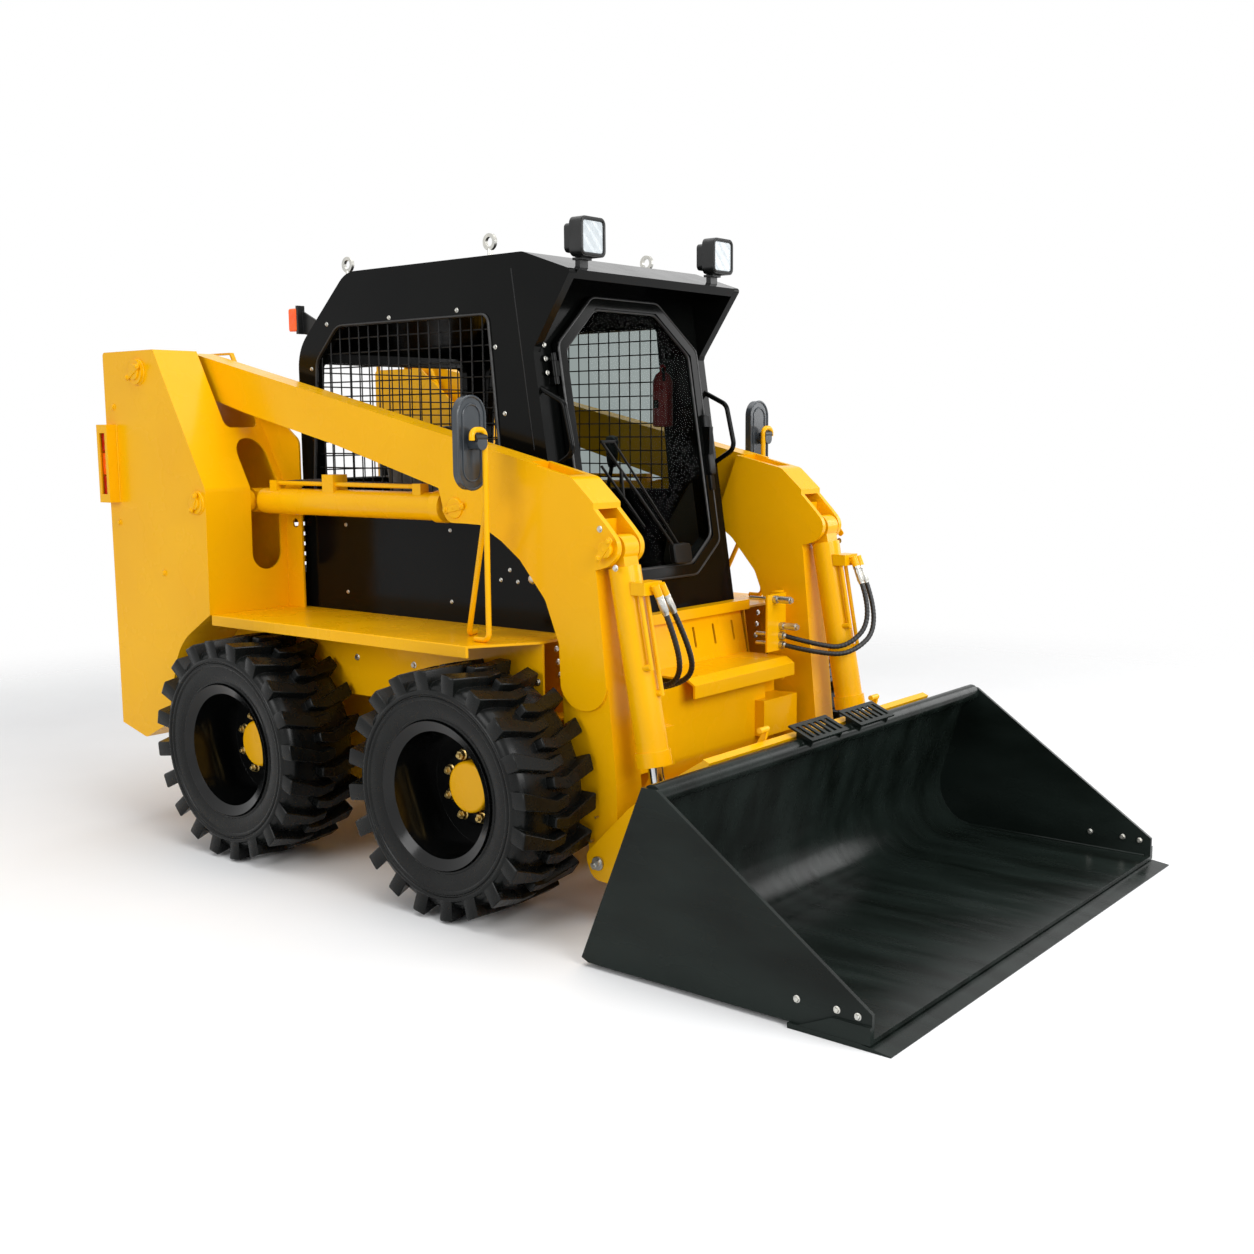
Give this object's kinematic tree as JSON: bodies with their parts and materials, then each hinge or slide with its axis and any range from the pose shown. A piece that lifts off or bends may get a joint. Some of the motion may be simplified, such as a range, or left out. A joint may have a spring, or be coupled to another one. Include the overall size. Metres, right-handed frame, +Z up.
{
  "type": "skid steer loader",
  "caption": "Compact wheeled loader with side lift arms, a hydraulic tilting bucket and a caged cab between the arms.",
  "frame": {"origin": "on the ground under the middle of the machine", "axes": "+X to the machine's left, +Y to its rear, +Z up; the bucket faces -Y"},
  "size_m": [1.99, 3.567, 2.194],
  "materials": {
    "tyre_rubber": "glossy dressed rubber",
    "rim_black": "gloss black enamel",
    "loader_yellow": "gloss yellow enamel",
    "engine_hood_black": "satin black enamel",
    "cast_black": "satin black enamel on castings",
    "cab_black": "gloss black enamel",
    "cab_mesh": "black coated welded mesh",
    "floor_rubber": "ribbed floor mat",
    "tinted_glass": "tinted safety glass",
    "seat_vinyl": "moulded vinyl",
    "lamp_black": "moulded black nylon",
    "mirror_grey": "moulded grey plastic",
    "tail_lamp_red": "moulded red and amber lens",
    "zinc_steel": "zinc plated steel",
    "rod_chrome": "hard chrome, ground",
    "bucket_black": "gloss black enamel, worn inside",
    "hose_rubber": "braided hydraulic hose"
  },
  "bodies": {
    "chassis": {"axle_tubes": "cast_black", "chassis_tub": "loader_yellow", "fenders": "loader_yellow", "uprights": "loader_yellow", "upright_pins": "zinc_steel", "rear_frame": "loader_yellow", "engine_hood": "engine_hood_black", "engine": "cast_black", "cab_sides": "cab_black", "cab_roof": "cab_black", "cab_rear": "cab_black", "cab_front": "cab_black", "cab_floor": "floor_rubber", "cab_grilles": "cab_mesh", "seat_cushion": "seat_vinyl", "seat_back": "seat_vinyl", "work_lamps": "lamp_black", "lifting_eyes": "zinc_steel", "mirror_heads": "mirror_grey", "mirror_stands": "loader_yellow", "tail_lamps": "tail_lamp_red"},
    "cab_door": {"door_frame": "cab_black", "door_glass": "tinted_glass"},
    "rear_door": {"rear_door": "loader_yellow"},
    "boom": {"boom_arms": "loader_yellow", "tilt_pins": "zinc_steel", "hydraulic_couplings": "zinc_steel"},
    "bucket": {"bucket": "bucket_black", "cutting_edge": "bucket_black", "quick_coupler": "loader_yellow", "hinge_pins": "zinc_steel"},
    "wheel_front_left": {"tyre_front_left": "tyre_rubber", "rim_front_left": "rim_black", "hub_front_left": "loader_yellow"},
    "wheel_front_right": {"tyre_front_right": "tyre_rubber", "rim_front_right": "rim_black", "hub_front_right": "loader_yellow"},
    "wheel_rear_left": {"tyre_rear_left": "tyre_rubber", "rim_rear_left": "rim_black", "hub_rear_left": "loader_yellow"},
    "wheel_rear_right": {"tyre_rear_right": "tyre_rubber", "rim_rear_right": "rim_black", "hub_rear_right": "loader_yellow"},
    "lift_barrel_left": {"lift_barrel_left": "loader_yellow", "lift_hose_left": "hose_rubber"},
    "lift_rod_left": {"lift_rod_left": "rod_chrome"},
    "tilt_barrel_left": {"tilt_barrel_left": "loader_yellow", "hose_ferrules_left": "zinc_steel", "tilt_hose_left_a": "hose_rubber", "tilt_hose_left_b": "hose_rubber"},
    "tilt_rod_left": {"tilt_rod_left": "rod_chrome"},
    "lift_barrel_right": {"lift_barrel_right": "loader_yellow", "lift_hose_right": "hose_rubber"},
    "lift_rod_right": {"lift_rod_right": "rod_chrome"},
    "tilt_barrel_right": {"tilt_barrel_right": "loader_yellow", "hose_ferrules_right": "zinc_steel", "tilt_hose_right_a": "hose_rubber", "tilt_hose_right_b": "hose_rubber"},
    "tilt_rod_right": {"tilt_rod_right": "rod_chrome"}
  },
  "joints": [
    {"name": "wheel_front_left_spin", "type": "hinge", "parent": "chassis", "child": "wheel_front_left", "pos_m": [0.821, -0.1735, 0.4], "axis": [1, 0, 0], "continuous": true},
    {"name": "wheel_front_right_spin", "type": "hinge", "parent": "chassis", "child": "wheel_front_right", "pos_m": [-0.821, -0.1735, 0.4], "axis": [1, 0, 0], "continuous": true},
    {"name": "wheel_rear_left_spin", "type": "hinge", "parent": "chassis", "child": "wheel_rear_left", "pos_m": [0.821, 0.9065, 0.4], "axis": [1, 0, 0], "continuous": true},
    {"name": "wheel_rear_right_spin", "type": "hinge", "parent": "chassis", "child": "wheel_rear_right", "pos_m": [-0.821, 0.9065, 0.4], "axis": [1, 0, 0], "continuous": true},
    {"name": "boom_lift", "type": "hinge", "parent": "chassis", "child": "boom", "pos_m": [0, 1.4845, 1.747], "axis": [-1, 0, 0], "range_deg": [0, 66]},
    {"name": "bucket_tilt", "type": "hinge", "parent": "boom", "child": "bucket", "pos_m": [0, -0.5835, 0.19], "axis": [1, 0, 0], "range_deg": [-25, 102]},
    {"name": "cab_door_swing", "type": "hinge", "parent": "chassis", "child": "cab_door", "pos_m": [-0.4, -0.23842, 1.4], "axis": [0, -0.1556, -0.9878], "range_deg": [0, 90]},
    {"name": "rear_door_swing", "type": "hinge", "parent": "chassis", "child": "rear_door", "pos_m": [-0.442, 1.7355, 0.84], "axis": [0, 0, 1], "range_deg": [0, 95]},
    {"name": "lift_barrel_left_turn", "type": "hinge", "parent": "chassis", "child": "lift_barrel_left", "pos_m": [0.6025, 1.1465, 1.268], "axis": [-1, 0, 0], "range_deg": [0, 66.8]},
    {"name": "lift_rod_left_slide", "type": "slide", "parent": "lift_barrel_left", "child": "lift_rod_left", "axis": [0, -1, 0.0027], "range_m": [0, 0.6388]},
    {"name": "tilt_barrel_left_turn", "type": "hinge", "parent": "boom", "child": "tilt_barrel_left", "pos_m": [0.585, -0.6145, 1.165], "axis": [1, 0, 0], "range_deg": [-0.8, 3.11]},
    {"name": "tilt_rod_left_slide", "type": "slide", "parent": "tilt_barrel_left", "child": "tilt_rod_left", "axis": [0, -0.1855, -0.9826], "range_m": [-0.0955, 0.3881]},
    {"name": "lift_barrel_right_turn", "type": "hinge", "parent": "chassis", "child": "lift_barrel_right", "pos_m": [-0.6025, 1.1465, 1.268], "axis": [-1, 0, 0], "range_deg": [0, 66.8]},
    {"name": "lift_rod_right_slide", "type": "slide", "parent": "lift_barrel_right", "child": "lift_rod_right", "axis": [0, -1, 0.0027], "range_m": [0, 0.6388]},
    {"name": "tilt_barrel_right_turn", "type": "hinge", "parent": "boom", "child": "tilt_barrel_right", "pos_m": [-0.585, -0.6145, 1.165], "axis": [1, 0, 0], "range_deg": [-0.8, 3.11]},
    {"name": "tilt_rod_right_slide", "type": "slide", "parent": "tilt_barrel_right", "child": "tilt_rod_right", "axis": [0, -0.1855, -0.9826], "range_m": [-0.0955, 0.3881]}
  ],
  "couplings": [
    {"joint": "lift_barrel_left_turn", "follows": "boom_lift", "ratio": 1.0114},
    {"joint": "lift_rod_left_slide", "follows": "boom_lift", "m_per_rad": 0.5541},
    {"joint": "tilt_barrel_left_turn", "follows": "bucket_tilt", "ratio": 0.03},
    {"joint": "tilt_rod_left_slide", "follows": "bucket_tilt", "m_per_rad": 0.2177},
    {"joint": "lift_barrel_right_turn", "follows": "boom_lift", "ratio": 1.0114},
    {"joint": "lift_rod_right_slide", "follows": "boom_lift", "m_per_rad": 0.5541},
    {"joint": "tilt_barrel_right_turn", "follows": "bucket_tilt", "ratio": 0.03},
    {"joint": "tilt_rod_right_slide", "follows": "bucket_tilt", "m_per_rad": 0.2177}
  ]
}
